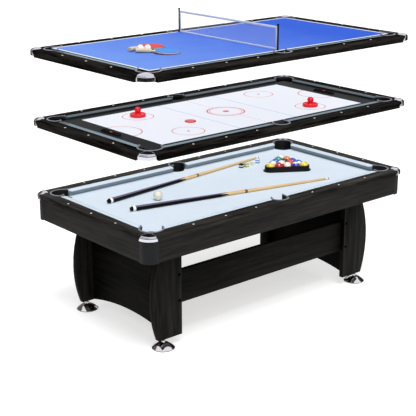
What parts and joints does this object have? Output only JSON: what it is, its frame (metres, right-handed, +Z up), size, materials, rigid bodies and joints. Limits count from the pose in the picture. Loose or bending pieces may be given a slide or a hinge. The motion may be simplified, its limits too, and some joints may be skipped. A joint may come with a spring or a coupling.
{
  "type": "multi game table",
  "caption": "Pool table on bowed leg boards with a hockey top and a table tennis top lifted off above it, each in its own rail frame, with cues, balls, rack, pushers, bats and net",
  "frame": {"origin": "on the floor under the middle of the table, at the bottom of the four feet", "axes": "+X along the table's length to the right end, +Y across it to the far side, +Z up"},
  "size_m": [2.13, 1.142, 1.8093],
  "materials": {
    "black_wood": "black oak-grain laminate on particle board, satin",
    "rail_wood": "black laminate rail tops, satin",
    "pale_cloth": "pale ice-blue woven billiard cloth over board",
    "cushion_cloth": "ice-blue cloth over rubber cushion",
    "liner_plastic": "black moulded pocket liner",
    "post_plastic": "satin black moulding",
    "chrome": "polished chrome plate",
    "raw_board": "bare particle board",
    "hockey_white": "white glossy faced board with printed lines",
    "red_plastic": "glossy red moulding",
    "tennis_blue": "satin blue lacquered board with white lines",
    "net_cord": "fine white netting with white tape",
    "black_plastic": "black moulding",
    "maple": "clear lacquered maple and black butt",
    "ivory_resin": "polished ivory resin",
    "red_rubber": "red rubber on pale plywood",
    "blue_rubber": "blue rubber on pale plywood"
  },
  "bodies": {
    "table": {"playfield_bed": "pale_cloth", "rail_near": "rail_wood", "rail_far": "rail_wood", "rail_left": "rail_wood", "rail_right": "rail_wood", "cushion_near_left": "cushion_cloth", "cushion_near_right": "cushion_cloth", "cushion_far_left": "cushion_cloth", "cushion_far_right": "cushion_cloth", "cushion_left": "cushion_cloth", "cushion_right": "cushion_cloth", "pocket_near_left": "liner_plastic", "pocket_near_middle": "liner_plastic", "pocket_near_right": "liner_plastic", "pocket_far_left": "liner_plastic", "pocket_far_middle": "liner_plastic", "pocket_far_right": "liner_plastic", "corner_cap_near_left": "chrome", "corner_cap_near_right": "chrome", "corner_cap_far_left": "chrome", "corner_cap_far_right": "chrome", "apron_near": "black_wood", "apron_far": "black_wood", "apron_left": "black_wood", "apron_right": "black_wood", "corner_pillar_near_left": "post_plastic", "corner_pillar_near_right": "post_plastic", "corner_pillar_far_left": "post_plastic", "corner_pillar_far_right": "post_plastic", "underframe": "raw_board", "leg_board_near_left": "black_wood", "leg_board_near_right": "black_wood", "leg_board_far_left": "black_wood", "leg_board_far_right": "black_wood", "end_panel_left": "black_wood", "end_panel_right": "black_wood", "stretcher_near": "black_wood", "stretcher_far": "black_wood"},
    "foot_near_left": {"levelling_foot_near_left": "chrome"},
    "foot_near_right": {"levelling_foot_near_right": "chrome"},
    "foot_far_left": {"levelling_foot_far_left": "chrome"},
    "foot_far_right": {"levelling_foot_far_right": "chrome"},
    "hockey_top": {"hockey_frame": "rail_wood", "hockey_board": "hockey_white"},
    "mallet_left": {"mallet_left": "red_plastic"},
    "bead_left": {"score_bead_left": "red_plastic"},
    "mallet_right": {"mallet_right": "red_plastic"},
    "bead_right": {"score_bead_right": "red_plastic"},
    "puck": {"puck": "red_plastic"},
    "tennis_top": {"tennis_frame": "rail_wood", "tennis_board": "tennis_blue"},
    "net_set": {"net": "net_cord", "net_post_near": "black_plastic", "net_post_far": "black_plastic"},
    "paddle_red": {"paddle_red": "red_rubber"},
    "paddle_blue": {"paddle_blue": "blue_rubber"},
    "cue_far": {"cue_far": "maple"},
    "cue_near": {"cue_near": "maple"},
    "cue_ball": {"cue_ball": "ivory_resin"},
    "rack": {"ball_rack": "black_plastic"}
  },
  "joints": [
    {"name": "hockey_top_lift", "type": "slide", "parent": "table", "child": "hockey_top", "axis": [0, 0, 1], "range_m": [-0.4147, 0]},
    {"name": "tennis_top_lift", "type": "slide", "parent": "hockey_top", "child": "tennis_top", "axis": [0, 0, 1], "range_m": [-0.3657, 0]},
    {"name": "net_lift", "type": "slide", "parent": "tennis_top", "child": "net_set", "axis": [0, 0, 1], "range_m": [0, 0.16]},
    {"name": "foot_near_left_screw", "type": "slide", "parent": "table", "child": "foot_near_left", "axis": [0, 0, 1], "range_m": [-0.015, 0.008]},
    {"name": "foot_near_right_screw", "type": "slide", "parent": "table", "child": "foot_near_right", "axis": [0, 0, 1], "range_m": [-0.015, 0.008]},
    {"name": "foot_far_left_screw", "type": "slide", "parent": "table", "child": "foot_far_left", "axis": [0, 0, 1], "range_m": [-0.015, 0.008]},
    {"name": "foot_far_right_screw", "type": "slide", "parent": "table", "child": "foot_far_right", "axis": [0, 0, 1], "range_m": [-0.015, 0.008]},
    {"name": "mallet_left_slide", "type": "slide", "parent": "hockey_top", "child": "mallet_left", "axis": [1, 0, 0], "range_m": [-0.26, 0.45]},
    {"name": "mallet_right_slide", "type": "slide", "parent": "hockey_top", "child": "mallet_right", "axis": [1, 0, 0], "range_m": [-0.45, 0.26]},
    {"name": "puck_slide", "type": "slide", "parent": "hockey_top", "child": "puck", "axis": [1, 0, 0], "range_m": [-0.43, 1.1]},
    {"name": "score_left", "type": "slide", "parent": "hockey_top", "child": "bead_left", "axis": [0, 1, 0], "range_m": [-0.065, 0.065]},
    {"name": "score_right", "type": "slide", "parent": "hockey_top", "child": "bead_right", "axis": [0, 1, 0], "range_m": [-0.065, 0.065]},
    {"name": "paddle_red_slide", "type": "slide", "parent": "tennis_top", "child": "paddle_red", "axis": [0, 1, 0], "range_m": [0, 0.25]},
    {"name": "paddle_blue_slide", "type": "slide", "parent": "tennis_top", "child": "paddle_blue", "axis": [0, 1, 0], "range_m": [-0.25, 0]},
    {"name": "cue_far_slide", "type": "slide", "parent": "table", "child": "cue_far", "axis": [0.9925, 0.1219, 0], "range_m": [-0.06, 0.2]},
    {"name": "cue_near_slide", "type": "slide", "parent": "table", "child": "cue_near", "axis": [0.9781, -0.2079, 0], "range_m": [-0.06, 0.2]},
    {"name": "cue_ball_roll", "type": "slide", "parent": "table", "child": "cue_ball", "axis": [1, 0, 0], "range_m": [-0.35, 0.8]},
    {"name": "rack_slide", "type": "slide", "parent": "table", "child": "rack", "axis": [1, 0, 0], "range_m": [-0.15, 0.2]}
  ]
}
